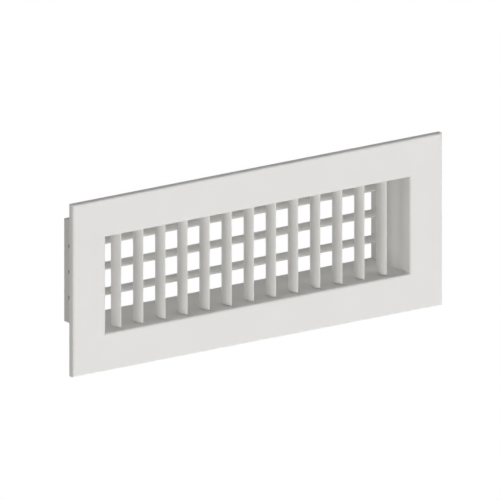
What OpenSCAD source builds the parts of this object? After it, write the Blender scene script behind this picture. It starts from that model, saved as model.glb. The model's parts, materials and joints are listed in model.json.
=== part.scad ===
// Louvred air grille with two banks of adjustable blades.
//
// Four mitred lengths of one extruded profile make a frame: a flange that covers the edge of the
// wall opening, and a neck that goes into it. Vertical blades stand in the front of the neck and
// horizontal blades lie behind them. Each blade turns on two plastic pins in plastic bushes.
//
// Millimetres. X is to the right, Y goes into the wall and Z is up. The origin is the centre of
// the opening in the wall plane, so the flange lies in front of Y = 0 and the neck behind it.

/* [Frame] */
// Width of the neck, outside
neck_w = 350; // [200:25:400]
// Height of the neck, outside
neck_h = 100; // [75:25:150]
// Length of the neck behind the wall plane
neck_depth = 57.7; // [57:0.1:80]
// Thickness of the neck walls
neck_wall = 3; // [2.8:0.1:4]
// How far the flange covers the wall beyond the neck
overlap = 33.8; // [33:0.1:50]
// How far the flange stands in front of the wall plane
flange_t = 6.7; // [5.5:0.1:8]
// Rounding of the flange's outer front edge
outer_edge_r = 2; // [0.5:0.1:2.4]
// Rounding of the flange's edge around the opening
inner_edge_r = 1.9; // [0.2:0.1:2.5]

/* [Blades] */
// Distance between neighbouring blades
blade_pitch = 25; // [25:5:35]
// Length of the blade section from tip to tip
blade_chord = 16.2; // [12:0.1:17]
// Greatest thickness of the blade section
blade_thickness = 6.4; // [5.8:0.1:7.2]
// Rounding of the blade tips
blade_tip_r = 0.5; // [0.3:0.05:0.8]
// Depth of the front blades' axes behind the flange's front face
front_axis_depth = 15.2; // [13:0.1:17]
// Depth of the rear blades' axes behind the flange's front face
rear_axis_depth = 53.1; // [46:0.1:53.5]
// Turn of every front blade from straight ahead, in degrees
front_turn = 0; // [-45:5:45]
// Turn of every rear blade from straight ahead, in degrees
rear_turn = 0; // [-45:5:45]

/* [Hidden] */
$fn = 64;

// Colours
paint = "whitesmoke";
nylon = "dimgray";
foam = "slategray";
zinc = "silver";
spring_steel = "lightsteelblue";

// Frame
opening_w = neck_w - 2 * neck_wall;
opening_h = neck_h - 2 * neck_wall;
flange_w = neck_w + 2 * overlap;
flange_h = neck_h + 2 * overlap;
border = neck_wall + overlap;
front_y = -flange_t;
skin_t = 2;
rim_t = 2;

// Overlap of shapes that become one solid, and run of a cut past the face where it starts or ends
eps = 0.01;
overcut = 1;

// Channel behind the flange that holds the corner cleats: its ribs and their turned-in lips
channel_from = 9;
channel_w = 13;
rib_t = 1.2;
channel_lip_w = 1.6;
channel_lip_t = 1.3;

// Corner cleats
cleat_play = 0.1;
cleat_arm = 46;

// Foam gasket in the recess between the channel and the outer rim
gasket_w = 9;

// Undercut groove along the outside of the neck that holds the spring clips
groove_y = 22;
groove_w = 12;
groove_depth = 1.4;
groove_lip_w = 1.2;
groove_lip_t = 0.6;

// Spring clips
clip_w = 16;
clip_t = 0.5;
clip_z = neck_h / 2 - 20;
clip_play = 0.1;
tongue_w = 10;
bow_r = 11;
bow_height = 6.6;
bow_foot = 0.4;

// Pins and bushes
journal_r = 1.5;
bush_bore_r = 1.55;
bush_barrel_r = 2.75;
bush_head_r = 3.3;
bush_head_t = 0.6;
spigot_r = 1.7;
spigot_l = 9;
shoulder_r = 2.6;
shoulder_t = 0.3;
blade_end_gap = 0.4;
core_half = 3.1;
blade_skin = 1.2;

// Blade banks
front_count = floor(neck_w / blade_pitch) - 1;
rear_count = floor(neck_h / blade_pitch) - 1;
front_axis_y = front_y + front_axis_depth;
rear_axis_y = front_y + rear_axis_depth;

function two_digits(n) = str(n < 10 ? "0" : "", n);
function front_x(i) = (i - (front_count + 1) / 2) * blade_pitch;
function rear_z(i) = (i - (rear_count + 1) / 2) * blade_pitch;

SIDES = ["top", "bottom", "left", "right"];
CORNERS = ["top_left", "top_right", "bottom_left", "bottom_right"];

// ---- Frame profile, drawn with x outwards from the opening and y into the wall ----

// The sliver outside a rounding of radius r at the origin, with the material at +x +y
module edge_sliver(r) {
    difference() {
        translate([-eps, -eps]) square(r + eps);
        translate([r, r]) circle(r);
    }
}

module cleat_channel() {
    for (x = [channel_from - rib_t, channel_from + channel_w]) {
        translate([x, front_y + skin_t - eps]) square([rib_t, -front_y - skin_t + eps]);
    }
    for (x = [channel_from - eps, channel_from + channel_w - channel_lip_w + eps]) {
        translate([x, -channel_lip_t]) square([channel_lip_w, channel_lip_t]);
    }
}

module clip_groove() {
    translate([neck_wall - groove_depth, groove_y])
        square([groove_depth - groove_lip_t, groove_w]);
    translate([neck_wall - groove_depth, groove_y + groove_lip_w])
        square([groove_depth + eps, groove_w - 2 * groove_lip_w]);
}

module frame_profile() {
    difference() {
        union() {
            translate([0, front_y]) square([border, skin_t]);
            translate([border - rim_t, front_y]) square([rim_t, flange_t]);
            translate([0, front_y]) square([neck_wall, flange_t + neck_depth]);
            cleat_channel();
        }
        translate([0, front_y]) edge_sliver(inner_edge_r);
        translate([border, front_y]) mirror([1, 0]) edge_sliver(outer_edge_r);
        clip_groove();
    }
}

// ---- Frame lengths, each cut to its mitres ----

mitre_run = 2 * (neck_depth + overcut);
inner_half = (flange_w - flange_h) / 2;

module top_mitre() {
    rotate([90, 0, 0]) linear_extrude(mitre_run, center = true)
        polygon([[-inner_half, 0], [inner_half, 0], [flange_w / 2, flange_h / 2],
                 [-flange_w / 2, flange_h / 2]]);
}

module side_mitre() {
    rotate([90, 0, 0]) linear_extrude(mitre_run, center = true)
        polygon([[inner_half, 0], [flange_w / 2, -flange_h / 2], [flange_w / 2, flange_h / 2]]);
}

module rail() {
    difference() {
        intersection() {
            translate([0, 0, opening_h / 2]) rotate([0, -90, 0])
                linear_extrude(flange_w, center = true) frame_profile();
            top_mitre();
        }
        for (i = [1:front_count]) {
            translate([front_x(i), front_axis_y, opening_h / 2 - overcut])
                cylinder(neck_wall + 2 * overcut, r = bush_barrel_r);
        }
    }
}

module stile() {
    difference() {
        intersection() {
            translate([opening_w / 2, 0, 0]) linear_extrude(flange_h, center = true) frame_profile();
            side_mitre();
        }
        for (i = [1:rear_count]) {
            translate([opening_w / 2 - overcut, rear_axis_y, rear_z(i)]) rotate([0, 90, 0])
                cylinder(neck_wall + 2 * overcut, r = bush_barrel_r);
        }
    }
}

module top_rail() {
    color(paint) rail();
}

module bottom_rail() {
    color(paint) mirror([0, 0, 1]) rail();
}

module right_stile() {
    color(paint) stile();
}

module left_stile() {
    color(paint) mirror([1, 0, 0]) stile();
}

// ---- Joining, sealing and fixing pieces ----

// Draws its children, made for the top right corner, at the named corner
module at_corner(corner) {
    is_left = corner == "top_left" || corner == "bottom_left";
    is_low = corner == "bottom_left" || corner == "bottom_right";
    mirror([is_left ? 1 : 0, 0, 0]) mirror([0, 0, is_low ? 1 : 0]) children();
}

// Stamped angle plate that slides into the channels of two lengths and holds their mitre shut
module corner_cleat(corner) {
    w = channel_w - 2 * cleat_play;
    t = flange_t - skin_t - channel_lip_t - 2 * cleat_play;
    out_x = opening_w / 2 + channel_from + channel_w - cleat_play;
    out_z = opening_h / 2 + channel_from + channel_w - cleat_play;
    color(zinc) at_corner(corner)
        translate([out_x, front_y + skin_t + cleat_play, out_z]) rotate([-90, 0, 0])
        linear_extrude(t) difference() {
            union() {
                translate([-cleat_arm, 0]) square([cleat_arm, w]);
                translate([-w, 0]) square([w, cleat_arm]);
            }
            for (hole = [[-cleat_arm + w / 2, w / 2], [-w / 2, cleat_arm - w / 2]]) {
                translate(hole) circle(w / 6);
            }
        }
}

// Foam strip in the recess behind one side of the flange; the top and bottom ones run over the ends
module gasket(side) {
    recess_from = channel_from + channel_w + rib_t;
    recess_w = border - rim_t - recess_from;
    inset = recess_from + (recess_w - gasket_w) / 2;
    t = flange_t - skin_t;
    run_w = opening_w + 2 * (inset + gasket_w);
    run_h = opening_h + 2 * inset;
    color(foam) {
        if (side == "top" || side == "bottom") {
            mirror([0, 0, side == "bottom" ? 1 : 0])
                translate([-run_w / 2, -t, opening_h / 2 + inset]) cube([run_w, t, gasket_w]);
        } else {
            mirror([side == "left" ? 1 : 0, 0, 0])
                translate([opening_w / 2 + inset, -t, -run_h / 2]) cube([gasket_w, t, run_h]);
        }
    }
}

// Leaf clip: a plate in the groove, and a tongue that leaves it through the groove's mouth and bows
// outwards to press on the side of the opening. Two ears beside the tongue hold the plate's rear edge.
module spring_clip(corner) {
    neck_x = neck_w / 2;
    plate_x = neck_x - groove_depth + clip_play;
    plate_y = groove_y + clip_play;
    rear_y = groove_y + groove_w - groove_lip_w - clip_play;
    ear_y = groove_y + groove_w - clip_play;
    ear_w = (clip_w - tongue_w) / 2 - clip_play;
    color(spring_steel) at_corner(corner) translate([0, 0, clip_z - clip_w / 2]) {
        translate([plate_x, plate_y, 0]) cube([clip_t, rear_y - plate_y, clip_w]);
        for (z = [0, clip_w - ear_w]) {
            translate([plate_x, rear_y - eps, z]) cube([clip_t, ear_y - rear_y + eps, ear_w]);
        }
        translate([plate_x, rear_y - clip_t, (clip_w - tongue_w) / 2])
            linear_extrude(tongue_w) tongue(neck_x - plate_x);
    }
}

// The tongue's section, from its root in the plate at the origin; the neck's side is at x = rise
module tongue(rise) {
    centre_x = rise + bow_height - bow_r;
    half_chord = sqrt(pow(bow_r, 2) - pow(centre_x, 2));
    intersection() {
        translate([centre_x, -half_chord]) difference() {
            circle(bow_r);
            circle(bow_r - clip_t);
        }
        union() {
            translate([0, -half_chord]) square([bow_r, bow_r]);
            translate([rise + bow_foot, -3 * bow_r]) square([bow_r, 3 * bow_r]);
        }
    }
}

// Plastic bush, pressed into the neck wall from outside; its bore is along z and its head on top
module bush() {
    difference() {
        union() {
            cylinder(neck_wall, r = bush_barrel_r);
            translate([0, 0, neck_wall]) cylinder(bush_head_t, r = bush_head_r);
        }
        translate([0, 0, -overcut]) cylinder(neck_wall + bush_head_t + 2 * overcut, r = bush_bore_r);
    }
}

module front_bushes_top() {
    color(nylon) for (i = [1:front_count]) {
        translate([front_x(i), front_axis_y, opening_h / 2]) bush();
    }
}

module front_bushes_bottom() {
    mirror([0, 0, 1]) front_bushes_top();
}

module rear_bushes_right() {
    color(nylon) for (i = [1:rear_count]) {
        translate([opening_w / 2, rear_axis_y, rear_z(i)]) rotate([0, 90, 0]) bush();
    }
}

module rear_bushes_left() {
    mirror([1, 0, 0]) rear_bushes_right();
}

// ---- Blades ----

// The two arcs of the section have this radius, so that they meet the tip roundings smoothly
tip_y = blade_chord / 2 - blade_tip_r;
arc_r = (pow(blade_thickness / 2, 2) + pow(tip_y, 2) - pow(blade_tip_r, 2))
        / (blade_thickness - 2 * blade_tip_r);
arc_x = arc_r - blade_thickness / 2;
tangent_y = arc_r * tip_y / (arc_r - blade_tip_r);

module lens(r) {
    intersection() {
        translate([arc_x, 0]) circle(r);
        translate([-arc_x, 0]) circle(r);
    }
}

// Hollow on both sides of a solid core that takes the pins
module blade_section() {
    difference() {
        union() {
            intersection() {
                lens(arc_r);
                square([blade_chord, 2 * tangent_y], center = true);
            }
            for (y = [-tip_y, tip_y]) {
                translate([0, y]) circle(blade_tip_r);
            }
        }
        difference() {
            lens(arc_r - blade_skin);
            square([blade_chord, 2 * core_half], center = true);
        }
        circle(spigot_r);
    }
}

// Blade along z with its ends just short of walls that are run apart
module blade(run) {
    color(paint) linear_extrude(run - 2 * blade_end_gap, center = true) blade_section();
}

// Two plastic pins: a spigot in the blade's bore, a shoulder and a journal out through the bush
module pivot_pins(run) {
    journal_l = blade_end_gap - shoulder_t + neck_wall + bush_head_t;
    color(nylon) for (end = [0, 1]) {
        mirror([0, 0, end]) translate([0, 0, run / 2 - blade_end_gap]) {
            translate([0, 0, -spigot_l]) cylinder(spigot_l, r = spigot_r);
            cylinder(shoulder_t, r = shoulder_r);
            translate([0, 0, shoulder_t]) cylinder(journal_l, r = journal_r);
        }
    }
}

module at_front_axis(i) {
    translate([front_x(i), front_axis_y, 0]) rotate([0, 0, front_turn]) children();
}

module at_rear_axis(i) {
    translate([0, rear_axis_y, rear_z(i)]) rotate([rear_turn, 0, 0]) rotate([0, 90, 0]) children();
}

module front_blade(i) {
    at_front_axis(i) blade(opening_h);
}

module front_pivot_pins(i) {
    at_front_axis(i) pivot_pins(opening_h);
}

module rear_blade(i) {
    at_rear_axis(i) blade(opening_w);
}

module rear_pivot_pins(i) {
    at_rear_axis(i) pivot_pins(opening_w);
}

// ---- Nodes ----

top_rail();
bottom_rail();
left_stile();
right_stile();
front_bushes_top();
front_bushes_bottom();
rear_bushes_left();
rear_bushes_right();

for (corner = CORNERS) {
    corner_cleat(corner);
    spring_clip(corner);
}
for (side = SIDES) {
    gasket(side);
}
for (i = [1:front_count]) {
    front_blade(i);
    front_pivot_pins(i);
}
for (i = [1:rear_count]) {
    rear_blade(i);
    rear_pivot_pins(i);
}
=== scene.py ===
"""Louvred air grille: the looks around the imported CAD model.

The frame is four mitred lengths of one coated aluminium extrusion. Upright blades and, behind them,
level blades turn on nylon pins in nylon bushes. Every piece is built from the CAD model's boxes and
joint axes, in metres and in the CAD model's frame: +X right, +Y into the wall, +Z up.
"""

import json
import math

import bmesh
import bpy
from mathutils import Matrix, Vector, noise


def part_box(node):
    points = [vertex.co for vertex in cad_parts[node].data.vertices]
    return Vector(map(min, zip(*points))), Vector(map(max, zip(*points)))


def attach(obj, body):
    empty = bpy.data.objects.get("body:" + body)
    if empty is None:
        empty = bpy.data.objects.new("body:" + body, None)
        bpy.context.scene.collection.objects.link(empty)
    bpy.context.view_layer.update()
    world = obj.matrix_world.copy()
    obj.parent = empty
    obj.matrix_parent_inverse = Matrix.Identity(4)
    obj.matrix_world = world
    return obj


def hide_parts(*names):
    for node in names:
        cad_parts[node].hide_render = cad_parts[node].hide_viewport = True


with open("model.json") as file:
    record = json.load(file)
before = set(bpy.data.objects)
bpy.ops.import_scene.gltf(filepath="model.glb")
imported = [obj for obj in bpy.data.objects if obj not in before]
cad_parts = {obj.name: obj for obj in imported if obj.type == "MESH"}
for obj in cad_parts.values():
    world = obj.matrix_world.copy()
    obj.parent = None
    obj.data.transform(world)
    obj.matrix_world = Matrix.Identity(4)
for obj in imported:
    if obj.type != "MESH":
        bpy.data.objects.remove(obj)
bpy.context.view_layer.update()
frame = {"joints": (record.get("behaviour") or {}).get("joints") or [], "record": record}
BODIES = frame["record"]["behaviour"]["bodies"]
JOINT_OF = {joint["child"]: joint for joint in frame["joints"]}
ROOT = "frame"
MM = 0.001
TAU = 2 * math.pi

# ---- Sizes read from the CAD model ----

RAIL_LO, RAIL_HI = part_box("top_rail")
STILE_LO, STILE_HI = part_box("right_stile")
BLADE_LO, BLADE_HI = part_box("front_blade_01")

HALF_OPENING_W = STILE_LO.x
HALF_OPENING_H = RAIL_LO.z
BORDER = RAIL_HI.z - RAIL_LO.z
FRONT_Y = RAIL_LO.y
NECK_END_Y = RAIL_HI.y
BLADE_CHORD = BLADE_HI.y - BLADE_LO.y

# ---- Details of the sections, as the CAD model has them, and their eases (small end bevels) ----

NECK_WALL = 3 * MM
SKIN = 2 * MM
RIM = 2 * MM
OUTER_EDGE_R = 2 * MM
INNER_EDGE_R = 1.9 * MM
CHANNEL_FROM = 9 * MM
CHANNEL_W = 13 * MM
RIB = 1.2 * MM
CHANNEL_LIP_W = 1.6 * MM
CHANNEL_LIP_T = 1.3 * MM
GROOVE_Y = 22 * MM
GROOVE_W = 12 * MM
GROOVE_DEPTH = 1.4 * MM
GROOVE_LIP_W = 1.2 * MM
GROOVE_LIP_T = 0.6 * MM
EDGE_R = 0.2 * MM
MITRE_EASE = 0.04 * MM

# Wear: how far it fades beside an edge, the largest rounding that wears fully as an edge, and the
# share of that rounding's bend below which a face doesn't wear at all
EDGE_FADE = 0.8 * MM
LARGEST_EDGE_R = 2 * MM
GENTLE_BEND = 0.3

BLADE_THICKNESS = 6.4 * MM
BLADE_TIP_R = 0.5 * MM
BLADE_SKIN = 1.2 * MM
BLADE_CORE_HALF = 3.1 * MM
BLADE_END_EASE = 0.12 * MM

PIN_EASE = 0.2 * MM
SPIGOT_R = 1.7 * MM
SPIGOT_L = 9 * MM
SHOULDER_R = 2.6 * MM
SHOULDER_T = 0.3 * MM
JOURNAL_R = 1.5 * MM
BUSH_EASE = 0.25 * MM
BUSH_BORE_R = 1.55 * MM
BUSH_BARREL_R = 2.75 * MM
BUSH_HEAD_R = 3.3 * MM
BUSH_HEAD_T = 0.6 * MM

CLEAT_PLAY = 0.1 * MM
CLEAT_CORNER_R = 1.2 * MM
CLEAT_HOLE_SHARE = 1 / 6

CLIP_T = 0.5 * MM
CLIP_PLAY = 0.1 * MM
CLIP_EASE = 0.06 * MM
CLIP_CORNER_R = 0.5 * MM
CLIP_BEND_R = 0.35 * MM
CLIP_NOTCH_SETBACK = 1 * MM
TONGUE_ROOT_L = 4 * MM
TONGUE_W = 10 * MM
BOW_R = 11 * MM
BOW_HEIGHT = 6.6 * MM
BOW_FOOT = 0.4 * MM

FOAM_EDGE_R = 0.6 * MM
FOAM_END_EASE = 0.25 * MM
FOAM_MESH_STEP = 1.5 * MM
FOAM_HOLLOW = 0.16 * MM
FOAM_HOLLOW_SCALE = 420

MERGE_DISTANCE = 0.0001 * MM


# ---- Outlines: closed lists of 2D points ----

def arc(centre, radius, start, end, steps):
    """Points on an arc from one angle to the other, both ends included."""
    angles = [start + (end - start) * k / steps for k in range(steps + 1)]
    return [Vector((centre[0] + radius * math.cos(a), centre[1] + radius * math.sin(a))) for a in angles]


def circle(centre, radius, steps=32):
    """Closed outline of a circle."""
    return arc(centre, radius, 0, TAU, steps)[:-1]


def rounded(corners, steps=5):
    """Outline from corners (x, y, radius); a corner with a radius becomes an arc."""
    points = []
    for i, (x, y, radius) in enumerate(corners):
        here = Vector((x, y))
        if not radius:
            points.append(here)
            continue
        into = (Vector(corners[i - 1][:2]) - here).normalized()
        out = (Vector(corners[(i + 1) % len(corners)][:2]) - here).normalized()
        half = into.angle(out) / 2
        centre = here + (into + out).normalized() * radius / math.sin(half)
        first = here + into * radius / math.tan(half) - centre
        last = here + out * radius / math.tan(half) - centre
        start = math.atan2(first.y, first.x)
        sweep = (math.atan2(last.y, last.x) - start + math.pi) % TAU - math.pi
        points += arc(centre, radius, start, start + sweep, steps)
    return points


def supported(outline):
    """The outline with a point just beside each end of its long straight stretches."""
    points = []
    for here, ahead in zip(outline, outline[1:] + outline[:1]):
        length = (ahead - here).length
        points.append(here)
        if length > 3 * EDGE_FADE:
            points.append(here.lerp(ahead, EDGE_FADE / length))
            points.append(ahead.lerp(here, EDGE_FADE / length))
    return points


def signed_area(outline):
    """Area of an outline; negative where it runs clockwise."""
    return sum(a.x * b.y - b.x * a.y for a, b in zip(outline, outline[1:] + outline[:1])) / 2


def edge_shares(outline):
    """How much of an edge each point is: 1 on a tight outward bend, 0 on flat, bowed and hollow faces."""
    outward = -1 if signed_area(outline) > 0 else 1
    shares = []
    for i, here in enumerate(outline):
        behind = here - outline[i - 1]
        ahead = outline[(i + 1) % len(outline)] - here
        step = max(min(behind.length, ahead.length), EDGE_R / 4)
        bend = outward * behind.angle_signed(ahead, 0) / step * LARGEST_EDGE_R
        shares.append(min(1, max(0, bend - GENTLE_BEND) / (1 - GENTLE_BEND)))
    return shares


def shrunk(outline, distance):
    """The outline moved inwards by a small distance, or outwards if it is negative."""
    turn = 1 if signed_area(outline) > 0 else -1
    least_lean = 0.3
    moved = []
    for i, here in enumerate(outline):
        ahead = (outline[(i + 1) % len(outline)] - here).normalized()
        behind = (here - outline[i - 1]).normalized()
        inward = Vector((-ahead.y - behind.y, ahead.x + behind.x)).normalized() * turn
        lean = max(least_lean, inward.dot(Vector((-ahead.y, ahead.x)) * turn))
        moved.append(here + inward * distance / lean)
    return moved


# ---- Mesh building ----

def ring(bm, points):
    """Vertices at the points."""
    return [bm.verts.new(p) for p in points]


def skin_between(bm, first, second, material=0):
    """Faces from one closed ring of vertices to the next."""
    for i in range(len(first)):
        j = (i + 1) % len(first)
        face = bm.faces.new((first[i], first[j], second[j], second[i]))
        face.material_index = material


def cap(bm, rings):
    """Fills the flat end between an outer ring and the rings of its holes."""
    edges = []
    for loop in rings:
        for i in range(len(loop)):
            pair = (loop[i], loop[(i + 1) % len(loop)])
            edges.append(bm.edges.get(pair) or bm.edges.new(pair))
    bmesh.ops.triangle_fill(bm, use_beauty=True, edges=edges)


def extrude(bm, outer, holes, stations, place):
    """Runs an outline with holes through stations; place(point, position) is a point in space.

    A station is (position, inset, wear). Its wear is 0 or 1 all round, or None where only the outline's
    own edges wear. The outside has the piece's first material and the holes have its second.
    """
    edge = bm.verts.layers.float.get("edge") or bm.verts.layers.float.new("edge")
    ends = []
    for n, outline in enumerate([outer] + holes):
        shares = edge_shares(outline)
        rings = []
        for position, inset, wear in stations:
            section = shrunk(outline, inset if n == 0 else -inset) if inset else outline
            rings.append(ring(bm, [place(p, position) for p in section]))
            for vert, share in zip(rings[-1], shares):
                vert[edge] = share if wear is None else wear
        for first, second in zip(rings, rings[1:]):
            skin_between(bm, first, second, material=min(n, 1))
        ends.append((rings[0], rings[-1]))
    cap(bm, [first for first, last in ends])
    cap(bm, [last for first, last in ends])


def eased(low, high, ease):
    """Stations from low to high with slightly smaller ends."""
    return [(low, ease, None), (low + ease, 0, None), (high - ease, 0, None), (high, ease, None)]


def worn_bar(low, high, ease):
    """Eased stations of a long piece whose ends wear."""
    return [(low, ease, 1), (low + ease, 0, 1), (low + ease + EDGE_FADE, 0, None),
            (high - ease - EDGE_FADE, 0, None), (high - ease, 0, 1), (high, ease, 1)]


def worn_plate(low, high, ease):
    """Eased stations of a plate whose two faces wear along their edges alone."""
    return [(low, ease + EDGE_FADE, 0), (low, ease, 1), (low + ease, 0, 1),
            (high - ease, 0, 1), (high, ease, 1), (high, ease + EDGE_FADE, 0)]


def lathe(bm, profile, place, closed=False, steps=36):
    """Turns (radius, height) points round an axis; place(x, y, height) is a point in space.

    A closed profile makes a ring. An open one starts and ends on the axis.
    """
    columns = []
    for k in range(steps):
        angle = TAU * k / steps
        columns.append([(r * math.cos(angle), r * math.sin(angle), h) for r, h in profile])
    if closed:
        verts = [ring(bm, [place(*p) for p in column]) for column in columns]
        for k in range(steps):
            skin_between(bm, verts[k], verts[(k + 1) % steps])
        return
    inner = profile[1:-1]
    bottom = bm.verts.new(place(0, 0, profile[0][1]))
    top = bm.verts.new(place(0, 0, profile[-1][1]))
    verts = [ring(bm, [place(*p) for p in column[1:-1]]) for column in columns]
    for k in range(steps):
        here, beside = verts[k], verts[(k + 1) % steps]
        for i in range(len(inner) - 1):
            bm.faces.new((here[i], beside[i], beside[i + 1], here[i + 1]))
        bm.faces.new((bottom, beside[0], here[0]))
        bm.faces.new((top, here[-1], beside[-1]))


def mesh_object(name, bm):
    """The mesh as an object in the scene."""
    bmesh.ops.remove_doubles(bm, verts=bm.verts, dist=MERGE_DISTANCE)
    bmesh.ops.recalc_face_normals(bm, faces=bm.faces)
    mesh = bpy.data.meshes.new(name)
    bm.to_mesh(mesh)
    bm.free()
    piece = bpy.data.objects.new(name, mesh)
    bpy.context.scene.collection.objects.link(piece)
    return piece


def cut(piece, cutter):
    """Takes the cutter's shape out of the piece, for good."""
    modifier = piece.modifiers.new("cut", "BOOLEAN")
    modifier.operation = "DIFFERENCE"
    modifier.solver = "EXACT"
    modifier.object = cutter
    shape = piece.evaluated_get(bpy.context.evaluated_depsgraph_get())
    mesh = bpy.data.meshes.new_from_object(shape)
    piece.modifiers.clear()
    old = piece.data
    piece.data = mesh
    bpy.data.meshes.remove(old)
    bpy.data.objects.remove(cutter)


def finish_piece(piece, body, nodes, materials, sharp_from=32):
    """Gives a piece its shading, materials and body, and hides the CAD nodes that it stands for."""
    for material in materials:
        piece.data.materials.append(material)
    piece.data.shade_smooth()
    piece.data.set_sharp_from_angle(angle=math.radians(sharp_from))
    normals = piece.modifiers.new("weighted normals", "WEIGHTED_NORMAL")
    normals.keep_sharp = True
    normals.weight = 100
    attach(piece, body)
    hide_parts(*nodes)
    return piece


# ---- Materials ----

def principled(name, roughness, metallic=0.0):
    """A new material with plain values, before any textures."""
    material = bpy.data.materials.new(name)
    material.use_nodes = True
    shader = material.node_tree.nodes["Principled BSDF"]
    shader.inputs["Roughness"].default_value = roughness
    shader.inputs["Metallic"].default_value = metallic
    return material


def add_node(material, kind, **inputs):
    """A new node with values set on its inputs; an underscore stands for a space in an input's name."""
    node = material.node_tree.nodes.new(kind)
    for name, value in inputs.items():
        node.inputs[name.replace("_", " ")].default_value = value
    return node


def link(material, source, target):
    material.node_tree.links.new(source, target)


def shader_input(material, name):
    """A socket of the material's shader."""
    return material.node_tree.nodes["Principled BSDF"].inputs[name]


def object_coordinates(material, stretch=(1, 1, 1)):
    """Coordinates in metres that stay on the piece when it moves."""
    coordinates = add_node(material, "ShaderNodeTexCoord")
    mapping = add_node(material, "ShaderNodeMapping", Scale=stretch)
    link(material, coordinates.outputs["Object"], mapping.inputs["Vector"])
    return mapping.outputs["Vector"]


def noise_texture(material, vector, scale, detail=2.0):
    """Noise from 0 to 1; scale is about the number of bumps in a metre."""
    texture = add_node(material, "ShaderNodeTexNoise", Scale=scale, Detail=detail)
    link(material, vector, texture.inputs["Vector"])
    return texture.outputs["Fac"]


def ranged(material, value, low, high, from_low=0.3, from_high=0.7):
    """A value stretched to low..high, by default from the range that noise mostly has."""
    node = add_node(material, "ShaderNodeMapRange",
                    From_Min=from_low, From_Max=from_high, To_Min=low, To_Max=high)
    link(material, value, node.inputs["Value"])
    return node.outputs["Result"]


def mixed_colour(material, factor, first, second):
    """Colours from first to second; each is three numbers or another node's output."""
    mix = material.node_tree.nodes.new("ShaderNodeMix")
    mix.data_type = "RGBA"
    for name, colour in (("A", first), ("B", second)):
        if isinstance(colour, tuple):
            mix.inputs[name].default_value = (*colour, 1)
        else:
            link(material, colour, mix.inputs[name])
    link(material, factor, mix.inputs["Factor"])
    return mix.outputs["Result"]


def multiply_add(material, first, second, share):
    """first + share * second"""
    node = add_node(material, "ShaderNodeMath")
    node.operation = "MULTIPLY_ADD"
    link(material, second, node.inputs[0])
    node.inputs[1].default_value = share
    link(material, first, node.inputs[2])
    return node.outputs["Value"]


def edge_wear(material, vector, most):
    """Wear along the edges, broken up by noise, up to the given share."""
    attribute = add_node(material, "ShaderNodeAttribute")
    attribute.attribute_name = "edge"
    patches = ranged(material, noise_texture(material, vector, scale=170, detail=4.0), 0.15 * most, most)
    node = add_node(material, "ShaderNodeMath")
    node.operation = "MULTIPLY"
    link(material, attribute.outputs["Fac"], node.inputs[0])
    link(material, patches, node.inputs[1])
    return node.outputs["Value"]


def set_colour(material, colour):
    link(material, colour, shader_input(material, "Base Color"))


def set_roughness(material, roughness):
    link(material, roughness, shader_input(material, "Roughness"))


def set_bump(material, height, depth):
    """Bump where a height from 0 to 1 stands for the depth in metres."""
    bump = add_node(material, "ShaderNodeBump", Strength=1.0, Distance=depth)
    link(material, height, bump.inputs["Height"])
    link(material, bump.outputs["Normal"], shader_input(material, "Normal"))


def powder_coat(name, light, dark, thin):
    """Satin powder coat: orange peel, a finer grain, hardly any change of tone, thinner glossy edges."""
    material = principled(name, roughness=0.5)
    vector = object_coordinates(material)
    peel = noise_texture(material, vector, scale=620, detail=1.5)
    grain = noise_texture(material, vector, scale=4200)
    tone = ranged(material, noise_texture(material, vector, scale=14, detail=3.0), 0, 1)
    wear = edge_wear(material, vector, most=0.8)
    set_colour(material, mixed_colour(material, wear, mixed_colour(material, tone, light, dark), thin))
    set_roughness(material, multiply_add(material, ranged(material, peel, 0.46, 0.56), wear, -0.16))
    set_bump(material, multiply_add(material, peel, grain, 0.25), depth=0.03 * MM)
    return material


def bare_aluminium():
    """Mill finish inside the hollow sections."""
    material = principled("bare_aluminium", roughness=0.4, metallic=1.0)
    streaks = noise_texture(material, object_coordinates(material), scale=900, detail=3.0)
    set_colour(material, mixed_colour(material, streaks, (0.60, 0.61, 0.62), (0.48, 0.49, 0.50)))
    set_roughness(material, ranged(material, streaks, 0.32, 0.5))
    set_bump(material, streaks, depth=0.01 * MM)
    return material


def moulded_nylon():
    """Dark nylon with the matt grain of a moulding tool and slightly cloudy filler."""
    material = principled("moulded_nylon", roughness=0.55)
    vector = object_coordinates(material)
    cloud = noise_texture(material, vector, scale=350, detail=4.0)
    grain = noise_texture(material, vector, scale=6500)
    paleness = ranged(material, cloud, 0, 1)
    set_colour(material, mixed_colour(material, paleness, (0.030, 0.030, 0.031), (0.048, 0.048, 0.050)))
    set_roughness(material, ranged(material, cloud, 0.48, 0.62))
    set_bump(material, grain, depth=0.02 * MM)
    return material


def zinc_plate():
    """Zinc on stamped steel: fine spangle, a faint blue and yellow cast, and edges rubbed bright."""
    material = principled("zinc_plate", roughness=0.35, metallic=1.0)
    vector = object_coordinates(material)
    spangle = add_node(material, "ShaderNodeTexVoronoi", Scale=420)
    link(material, vector, spangle.inputs["Vector"])
    cast = ranged(material, noise_texture(material, vector, scale=60, detail=3.0), 0, 1)
    wear = edge_wear(material, vector, most=1.0)
    plated = mixed_colour(material, cast, (0.58, 0.60, 0.63), (0.64, 0.62, 0.56))
    set_colour(material, mixed_colour(material, wear, plated, (0.76, 0.76, 0.75)))
    dullness = ranged(material, spangle.outputs["Distance"], 0.28, 0.45, from_low=0, from_high=0.6)
    set_roughness(material, multiply_add(material, dullness, wear, -0.12))
    set_bump(material, noise_texture(material, vector, scale=2400), depth=0.01 * MM)
    return material


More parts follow.
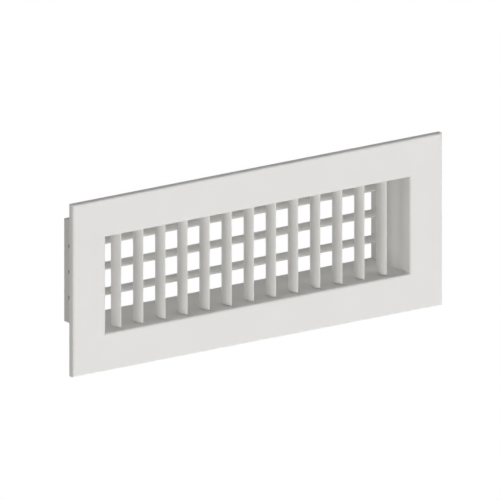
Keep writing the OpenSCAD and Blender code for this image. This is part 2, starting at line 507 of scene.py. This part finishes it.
def spring_steel():
    """Rolled stainless strip: fine streaks along the strip."""
    material = principled("spring_steel", roughness=0.3, metallic=1.0)
    vector = object_coordinates(material, stretch=(1, 1, 14))
    streaks = noise_texture(material, vector, scale=420, detail=4.0)
    set_colour(material, mixed_colour(material, streaks, (0.56, 0.55, 0.54), (0.44, 0.435, 0.43)))
    set_roughness(material, ranged(material, streaks, 0.22, 0.38))
    set_bump(material, streaks, depth=0.008 * MM)
    return material


def cellular_foam():
    """Dark closed-cell foam: small pores with painted shade in their hollows, a cloudy tone and no gloss."""
    material = principled("cellular_foam", roughness=0.9)
    vector = object_coordinates(material)
    pores = add_node(material, "ShaderNodeTexVoronoi", Scale=1500)
    link(material, vector, pores.inputs["Vector"])
    cloud = noise_texture(material, vector, scale=90, detail=4.0)
    height = multiply_add(material, pores.outputs["Distance"], cloud, 0.3)
    # Painted shade: the colour darkens with the bump height into the pores' hollows; the cloud in it is a
    # real change of tone.
    paleness = ranged(material, height, 0, 1, from_low=0.1, from_high=0.8)
    set_colour(material, mixed_colour(material, paleness, (0.018, 0.018, 0.019), (0.055, 0.055, 0.057)))
    set_roughness(material, ranged(material, cloud, 0.82, 0.95))
    set_bump(material, height, depth=0.25 * MM)
    return material


COAT = powder_coat("frame_coat_look", light=(0.84, 0.83, 0.812), dark=(0.82, 0.81, 0.792),
                   thin=(0.77, 0.765, 0.75))
# Painted light: the blades' coat is the frame's coat made a little lighter, so the blades look lighter than
# the lamps alone make them.
LIT_BLADE_COAT = powder_coat("lit_blade_coat_look", light=(0.845, 0.838, 0.812), dark=(0.825, 0.818, 0.792),
                         thin=(0.775, 0.77, 0.75))
ALUMINIUM = bare_aluminium()
NYLON = moulded_nylon()
ZINC = zinc_plate()
SPRING = spring_steel()
FOAM = cellular_foam()


# ---- Frame ----

def frame_outline():
    """Section of the frame extrusion: x outwards from the opening, y into the wall."""
    back_of_skin = FRONT_Y + SKIN
    channel_to = CHANNEL_FROM + CHANNEL_W
    r = EDGE_R
    return supported(rounded([
        (0, FRONT_Y, INNER_EDGE_R),
        (BORDER, FRONT_Y, OUTER_EDGE_R),
        (BORDER, 0, r),
        (BORDER - RIM, 0, r),
        (BORDER - RIM, back_of_skin, r),
        (channel_to + RIB, back_of_skin, r),
        (channel_to + RIB, 0, r),
        (channel_to - CHANNEL_LIP_W, 0, r),
        (channel_to - CHANNEL_LIP_W, -CHANNEL_LIP_T, r),
        (channel_to, -CHANNEL_LIP_T, r),
        (channel_to, back_of_skin, r),
        (CHANNEL_FROM, back_of_skin, r),
        (CHANNEL_FROM, -CHANNEL_LIP_T, r),
        (CHANNEL_FROM + CHANNEL_LIP_W, -CHANNEL_LIP_T, r),
        (CHANNEL_FROM + CHANNEL_LIP_W, 0, r),
        (CHANNEL_FROM - RIB, 0, r),
        (CHANNEL_FROM - RIB, back_of_skin, r),
        (NECK_WALL, back_of_skin, 2 * r),
        (NECK_WALL, GROOVE_Y + GROOVE_LIP_W, r),
        (NECK_WALL - GROOVE_LIP_T, GROOVE_Y + GROOVE_LIP_W, r),
        (NECK_WALL - GROOVE_LIP_T, GROOVE_Y, r),
        (NECK_WALL - GROOVE_DEPTH, GROOVE_Y, r),
        (NECK_WALL - GROOVE_DEPTH, GROOVE_Y + GROOVE_W, r),
        (NECK_WALL - GROOVE_LIP_T, GROOVE_Y + GROOVE_W, r),
        (NECK_WALL - GROOVE_LIP_T, GROOVE_Y + GROOVE_W - GROOVE_LIP_W, r),
        (NECK_WALL, GROOVE_Y + GROOVE_W - GROOVE_LIP_W, r),
        (NECK_WALL, NECK_END_Y, r),
        (0, NECK_END_Y, r),
    ]))


def level_length(side):
    """Puts a section point on the top (side 1) or bottom (side -1) length.

    Its position is the end (-1 or 1) that it belongs to and how far it is back from that end's mitre.
    """
    def place(point, position):
        end, back = position
        return Vector((end * (HALF_OPENING_W + point.x - back), point.y, side * (HALF_OPENING_H + point.x)))
    return place


def upright_length(side):
    """Puts a section point on the right (side 1) or left (side -1) length, as level_length does."""
    def place(point, position):
        end, back = position
        return Vector((side * (HALF_OPENING_W + point.x), point.y, end * (HALF_OPENING_H + point.x - back)))
    return place


def pin_axes(group):
    """Joint positions of the front (upright) or rear (level) blades."""
    return [Vector(joint["pos_m"]) for body, joint in JOINT_OF.items() if body.startswith(group)]


def axis_place(upright, axis, side):
    """Puts a turned point on a blade's axis, at a height measured outwards from the blade's middle."""
    def place(x, y, height):
        if upright:
            return Vector((axis.x + x, axis.y + y, side * height))
        return Vector((side * height, axis.y + y, axis.z + x))
    return place


def hole_cutter(name, group, side):
    """Cylinders through one neck wall, one for each bush in it."""
    upright = group == "front"
    middle = (HALF_OPENING_H if upright else HALF_OPENING_W) + NECK_WALL / 2
    turn = Matrix.Identity(4) if upright else Matrix.Rotation(math.pi / 2, 4, "Y")
    bm = bmesh.new()
    for axis in pin_axes(group):
        centre = axis_place(upright, axis, side)(0, 0, middle)
        bmesh.ops.create_cone(bm, cap_ends=True, segments=36, radius1=BUSH_BARREL_R, radius2=BUSH_BARREL_R,
                              depth=2 * NECK_WALL, matrix=Matrix.Translation(centre) @ turn)
    return mesh_object(name, bm)


def frame_length(name, node, place, group, side):
    """One mitred length of the extrusion, with the holes for its bushes."""
    stations = [((-1, 0), MITRE_EASE, None), ((-1, MITRE_EASE), 0, None),
                ((1, MITRE_EASE), 0, None), ((1, 0), MITRE_EASE, None)]
    bm = bmesh.new()
    extrude(bm, frame_outline(), [], stations, place)
    piece = mesh_object(name, bm)
    cut(piece, hole_cutter(name + "_holes", group, side))
    return finish_piece(piece, ROOT, [node], [COAT])


def make_frame():
    frame_length("frame_top", "top_rail", level_length(1), "front", 1)
    frame_length("frame_bottom", "bottom_rail", level_length(-1), "front", -1)
    frame_length("frame_right", "right_stile", upright_length(1), "rear", 1)
    frame_length("frame_left", "left_stile", upright_length(-1), "rear", -1)


# ---- Blades and their pins ----

def lens_arcs(grown=0.0):
    """Radius and centre offset of the two arcs of the blade section, moved out by grown."""
    tip_y = BLADE_CHORD / 2 - BLADE_TIP_R
    half_t = BLADE_THICKNESS / 2
    radius = (half_t ** 2 + tip_y ** 2 - BLADE_TIP_R ** 2) / (2 * (half_t - BLADE_TIP_R))
    return radius + grown, radius - half_t


def blade_outline(steps=28, tip_steps=8):
    """Two arcs that run smoothly into round tips; the chord lies along y."""
    radius, offset = lens_arcs()
    tip_y = BLADE_CHORD / 2 - BLADE_TIP_R
    lean = math.atan2(tip_y, offset)
    side = arc((-offset, 0), radius, -lean, lean, steps)
    tip = arc((0, tip_y), BLADE_TIP_R, lean, math.pi - lean, tip_steps)
    half = side + tip[1:-1]
    return half + [-p for p in half]


def chamber_outline(end, steps=10):
    """The hollow between the blade's core and one tip."""
    radius, offset = lens_arcs(grown=-BLADE_SKIN)
    near = math.asin(BLADE_CORE_HALF / radius)
    far = math.acos(offset / radius)
    side = arc((-offset, 0), radius, near, far, steps)
    mirrored = [Vector((-p.x, p.y)) for p in reversed(side[:-1])]
    return [Vector((p.x, end * p.y)) for p in side + mirrored]


def blade_place(upright, axis):
    """Puts a section point at a distance along the blade, on the axis of its joint."""
    def place(point, along):
        if upright:
            return Vector((axis.x + point.x, axis.y + point.y, along))
        return Vector((along, axis.y + point.y, axis.z + point.x))
    return place


def half_length(node, upright):
    """Half of a blade's or pin pair's length along its axis."""
    lo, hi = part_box(node)
    return (hi.z - lo.z) / 2 if upright else (hi.x - lo.x) / 2


def make_blade(name, body, node, upright):
    """Hollow lens section with an open bore for the pins in its core."""
    axis = Vector(JOINT_OF[body]["pos_m"])
    half = half_length(node, upright)
    holes = [chamber_outline(1), chamber_outline(-1), circle((0, 0), SPIGOT_R)]
    bm = bmesh.new()
    extrude(bm, blade_outline(), holes, worn_bar(-half, half, BLADE_END_EASE), blade_place(upright, axis))
    # The blade gets the lighter copy of the coat, which is painted light.
    return finish_piece(mesh_object(name, bm), body, [node], [LIT_BLADE_COAT, ALUMINIUM])


def make_pins(name, body, node, blade_node, upright):
    """Two pins: a spigot in the blade's core, a shoulder and a journal with a dimple in its end."""
    axis = Vector(JOINT_OF[body]["pos_m"])
    end = half_length(blade_node, upright)
    tip = half_length(node, upright)
    small = PIN_EASE / 4
    profile = [
        (0, end - SPIGOT_L),
        (SPIGOT_R - 2 * PIN_EASE, end - SPIGOT_L),
        (SPIGOT_R, end - SPIGOT_L + 2 * PIN_EASE),
        (SPIGOT_R, end),
        (SHOULDER_R - small, end),
        (SHOULDER_R, end + small),
        (SHOULDER_R, end + SHOULDER_T - small),
        (SHOULDER_R - small, end + SHOULDER_T),
        (JOURNAL_R, end + SHOULDER_T),
        (JOURNAL_R, tip - PIN_EASE),
        (JOURNAL_R - PIN_EASE, tip),
        (JOURNAL_R / 2, tip),
        (JOURNAL_R / 2 - PIN_EASE, tip - PIN_EASE),
        (0, tip - PIN_EASE),
    ]
    bm = bmesh.new()
    for side in (-1, 1):
        lathe(bm, profile, axis_place(upright, axis, side))
    return finish_piece(mesh_object(name, bm), body, [node], [NYLON])


def make_blade_bank(group):
    """Every front or rear blade with its pins, each on its own body."""
    upright = group == "front"
    for body in BODIES:
        if body.startswith(group):
            number = body.rsplit("_", 1)[1]
            blade = f"{group}_blade_{number}"
            make_blade(f"{group}_vane_blade_{number}", body, blade, upright)
            make_pins(f"{group}_vane_pins_{number}", body, f"{group}_pivot_pins_{number}", blade, upright)


# ---- Bushes ----

def make_bushes(node, group, side):
    """Every bush in one neck wall: a barrel through the wall and a rounded head outside it."""
    upright = group == "front"
    inner = HALF_OPENING_H if upright else HALF_OPENING_W
    outer = inner + NECK_WALL
    top = outer + BUSH_HEAD_T
    small = BUSH_EASE / 2
    rim = [(p.x, p.y) for p in arc((BUSH_HEAD_R - BUSH_EASE, top - BUSH_EASE), BUSH_EASE, 0, math.pi / 2, 4)]
    profile = [
        (BUSH_BORE_R, inner + small),
        (BUSH_BORE_R + small, inner),
        (BUSH_BARREL_R - small, inner),
        (BUSH_BARREL_R, inner + small),
        (BUSH_BARREL_R, outer),
        (BUSH_HEAD_R, outer),
        *rim,
        (BUSH_BORE_R + BUSH_EASE, top),
        (BUSH_BORE_R, top - BUSH_EASE),
    ]
    bm = bmesh.new()
    for axis in pin_axes(group):
        lathe(bm, profile, axis_place(upright, axis, side), closed=True)
    return finish_piece(mesh_object("nylon_" + node, bm), ROOT, [node], [NYLON])


# ---- Corner cleats, spring clips and gasket ----

def corner_signs(corner):
    """Directions of x and z from the middle towards a corner."""
    return (-1 if "left" in corner else 1), (-1 if "bottom" in corner else 1)


def make_cleat(corner):
    """Stamped angle plate with a hole in each arm; its outer corner is the corner of its box."""
    node = "corner_cleat_" + corner
    lo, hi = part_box(node)
    side_x, side_z = corner_signs(corner)
    corner_x = max(abs(lo.x), abs(hi.x))
    corner_z = max(abs(lo.z), abs(hi.z))
    arm = hi.x - lo.x
    width = CHANNEL_W - 2 * CLEAT_PLAY
    r = CLEAT_CORNER_R
    outer = supported(rounded([(0, 0, r), (-arm, 0, r), (-arm, -width, r), (-width, -width, r),
                               (-width, -arm, r), (0, -arm, r)]))
    far, middle = -arm + width / 2, -width / 2
    holes = [circle(centre, width * CLEAT_HOLE_SHARE) for centre in ((far, middle), (middle, far))]
    bm = bmesh.new()
    extrude(bm, outer, holes, worn_plate(lo.y, hi.y, EDGE_R),
            lambda p, depth: Vector((side_x * (corner_x + p.x), depth, side_z * (corner_z + p.y))))
    return finish_piece(mesh_object("cleat_" + corner, bm), ROOT, [node], [ZINC, ZINC])


def strip_outline(path, thickness):
    """Outline of a strip that follows a path."""
    left, right = [], []
    for i, here in enumerate(path):
        along = (path[min(i + 1, len(path) - 1)] - path[max(i - 1, 0)]).normalized()
        across = Vector((-along.y, along.x)) * thickness / 2
        left.append(here + across)
        right.append(here - across)
    return left + list(reversed(right))


def bend(path, radius, steps=5):
    """Rounds the inner corners of an open path."""
    corners = [(p.x, p.y, 0 if i in (0, len(path) - 1) else radius) for i, p in enumerate(path)]
    return rounded(corners, steps)


def clip_plate_outline(front_y, back_y, notch_y, width):
    """The plate with two ears; the tongue leaves it in the notch between them."""
    half = width / 2
    notch = TONGUE_W / 2 + CLIP_PLAY
    r = CLIP_CORNER_R
    return rounded([(front_y, -half, r), (back_y, -half, r), (back_y, -notch, r), (notch_y, -notch, 0),
                    (notch_y, notch, 0), (back_y, notch, r), (back_y, half, r), (front_y, half, r)])


def clip_tongue_path(neck_x, plate_x, rear_y):
    """Middle line of the tongue: it leaves the plate and bows out, and its end is just above the neck."""
    centre_x = neck_x + BOW_HEIGHT - BOW_R
    half_chord = math.sqrt(BOW_R ** 2 - (plate_x - centre_x) ** 2)
    middle_r = BOW_R - CLIP_T / 2
    root = math.acos((plate_x + CLIP_T - centre_x) / middle_r)
    foot = math.acos((neck_x + BOW_FOOT + CLIP_T / 2 - centre_x) / middle_r)
    bow = arc((centre_x, rear_y - CLIP_T - half_chord), middle_r, root, -foot, 28)
    root_x = plate_x + CLIP_T / 2
    start = Vector((root_x, rear_y - TONGUE_ROOT_L))
    return bend([start, Vector((root_x, bow[0].y)), bow[0]], CLIP_BEND_R)[:-1] + bow


def make_clip(corner):
    """Spring clip: a plate with two ears in the neck's groove, and a bowed tongue."""
    node = "spring_clip_" + corner
    lo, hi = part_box(node)
    side_x, _ = corner_signs(corner)
    neck_x = HALF_OPENING_W + NECK_WALL
    plate_x = neck_x - GROOVE_DEPTH + CLIP_PLAY
    rear_y = GROOVE_Y + GROOVE_W - GROOVE_LIP_W - CLIP_PLAY
    middle_z = (lo.z + hi.z) / 2
    plate = clip_plate_outline(GROOVE_Y + CLIP_PLAY, hi.y, rear_y - CLIP_NOTCH_SETBACK, hi.z - lo.z)
    tongue = strip_outline(clip_tongue_path(neck_x, plate_x, rear_y), CLIP_T)
    bm = bmesh.new()
    extrude(bm, plate, [], eased(0, CLIP_T, CLIP_EASE),
            lambda p, depth: Vector((side_x * (plate_x + depth), p.x, middle_z + p.y)))
    extrude(bm, tongue, [], eased(-TONGUE_W / 2, TONGUE_W / 2, CLIP_EASE),
            lambda p, across: Vector((side_x * p.x, p.y, middle_z + across)))
    return finish_piece(mesh_object("clip_" + corner, bm), ROOT, [node], [SPRING])


def make_gasket(side):
    """Foam strip: a soft-edged section with small hollows all along it."""
    node = "gasket_" + side
    lo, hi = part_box(node)
    level = side in ("top", "bottom")
    width = hi.z - lo.z if level else hi.x - lo.x
    length = hi.x - lo.x if level else hi.z - lo.z
    r = FOAM_EDGE_R
    outline = rounded([(0, lo.y, r), (width, lo.y, r), (width, hi.y, r), (0, hi.y, r)], 4)
    section = []
    for here, ahead in zip(outline, outline[1:] + outline[:1]):
        parts = max(1, round((ahead - here).length / (2 * r)))
        section += [here.lerp(ahead, k / parts) for k in range(parts)]
    steps = round(length / FOAM_MESH_STEP)
    stations = [(length * k / steps, FOAM_END_EASE if k in (0, steps) else 0, None) for k in range(steps + 1)]

    def place(point, along):
        if level:
            return Vector((lo.x + along, point.y, lo.z + point.x))
        return Vector((lo.x + point.x, point.y, lo.z + along))

    bm = bmesh.new()
    extrude(bm, section, [], stations, place)
    bmesh.ops.recalc_face_normals(bm, faces=bm.faces)
    normals = [vert.normal.copy() for vert in bm.verts]
    for vert, normal in zip(bm.verts, normals):
        dent = 0.5 + 0.5 * noise.noise(vert.co * FOAM_HOLLOW_SCALE)
        vert.co -= normal * FOAM_HOLLOW * dent
    piece = mesh_object("foam_" + side, bm)
    return finish_piece(piece, ROOT, [node], [FOAM], sharp_from=60)


# ---- Camera, lights and floor ----

VIEW_AZIMUTH = math.radians(-34.44)
VIEW_ELEVATION = math.radians(16.66)
VIEW_WIDTH = 0.46614
AIM_RIGHT = -0.00743
AIM_UP = 0.00505
CAMERA_DISTANCE = 2.0
LIGHT_SOFTNESS = math.radians(40)
FLOOR_DROP = 2.5
FLOOR_HALF_SIZE = 20


def make_camera():
    """Parallel view from the left and a little above, aimed slightly off the flange's centre."""
    back = Vector((math.sin(VIEW_AZIMUTH) * math.cos(VIEW_ELEVATION),
                   -math.cos(VIEW_AZIMUTH) * math.cos(VIEW_ELEVATION), math.sin(VIEW_ELEVATION)))
    data = bpy.data.cameras.new("camera")
    data.type = "ORTHO"
    data.ortho_scale = VIEW_WIDTH
    camera = bpy.data.objects.new("camera", data)
    turn = back.to_track_quat("Z", "Y")
    right = turn @ Vector((1, 0, 0))
    up = turn @ Vector((0, 1, 0))
    aim = Vector((0, FRONT_Y, 0)) + right * AIM_RIGHT + up * AIM_UP
    camera.rotation_euler = turn.to_euler()
    camera.location = aim + back * CAMERA_DISTANCE
    bpy.context.scene.collection.objects.link(camera)
    bpy.context.scene.camera = camera


def make_sun(name, azimuth, elevation, strength, colour=(1, 1, 1)):
    """Parallel soft light from a bearing; azimuth 0 is straight in front and negative is left."""
    data = bpy.data.lights.new(name, "SUN")
    data.energy = strength
    data.color = colour
    data.angle = LIGHT_SOFTNESS
    sun = bpy.data.objects.new(name, data)
    azimuth, elevation = math.radians(azimuth), math.radians(elevation)
    towards = Vector((math.sin(azimuth) * math.cos(elevation), -math.cos(azimuth) * math.cos(elevation),
                      math.sin(elevation)))
    sun.rotation_euler = towards.to_track_quat("Z", "Y").to_euler()
    bpy.context.scene.collection.objects.link(sun)


def make_world(gloss_brightness):
    """Plain surroundings: white to the camera, dimmer in reflections, and without diffuse light."""
    world = bpy.data.worlds.new("studio")
    world.use_nodes = True
    background = world.node_tree.nodes["Background"]
    background.inputs["Color"].default_value = (1, 1, 1, 1)
    path = world.node_tree.nodes.new("ShaderNodeLightPath")
    strength = world.node_tree.nodes.new("ShaderNodeMapRange")
    strength.inputs["To Min"].default_value = gloss_brightness
    strength.inputs["To Max"].default_value = 1.0
    world.node_tree.links.new(path.outputs["Is Camera Ray"], strength.inputs["Value"])
    world.node_tree.links.new(strength.outputs["Result"], background.inputs["Strength"])
    world.cycles_visibility.diffuse = False
    bpy.context.scene.world = world


def make_floor():
    """Pale floor far below the grille; it lights nothing, so the light stays even."""
    material = principled("pale_floor", roughness=1.0)
    shader_input(material, "Base Color").default_value = (0, 0, 0, 1)
    shader_input(material, "Specular IOR Level").default_value = 0
    shader_input(material, "Emission Color").default_value = (1, 1, 1, 1)
    shader_input(material, "Emission Strength").default_value = 1.0
    bm = bmesh.new()
    bmesh.ops.create_grid(bm, x_segments=8, y_segments=8, size=FLOOR_HALF_SIZE,
                          matrix=Matrix.Translation((0, 0, -FLOOR_DROP)))
    floor = mesh_object("floor", bm)
    floor.data.materials.append(material)
    floor.visible_diffuse = False
    floor.visible_glossy = False
    floor.visible_shadow = False


# ---- Assembly ----

make_camera()
make_world(gloss_brightness=0.25)
make_sun("front_left", azimuth=-30, elevation=0, strength=1.4)
make_sun("front_right", azimuth=30, elevation=0, strength=1.15)
make_sun("front_low", azimuth=0, elevation=-30, strength=0.37)
make_sun("left", azimuth=-90, elevation=0, strength=0.72, colour=(1, 1, 0.93))
make_sun("right_high", azimuth=90, elevation=30, strength=0.99)
make_sun("right_low", azimuth=90, elevation=-60, strength=1.5)
make_sun("back_high", azimuth=180, elevation=20, strength=1.05)
make_sun("back_low", azimuth=180, elevation=-20, strength=0.30)
make_floor()
bpy.context.scene.view_settings.view_transform = "Standard"

make_frame()
make_blade_bank("front")
make_blade_bank("rear")
for node, group, side in (("front_bushes_top", "front", 1), ("front_bushes_bottom", "front", -1),
                          ("rear_bushes_right", "rear", 1), ("rear_bushes_left", "rear", -1)):
    make_bushes(node, group, side)
for corner in ("top_left", "top_right", "bottom_left", "bottom_right"):
    make_cleat(corner)
    make_clip(corner)
for side in ("top", "bottom", "left", "right"):
    make_gasket(side)
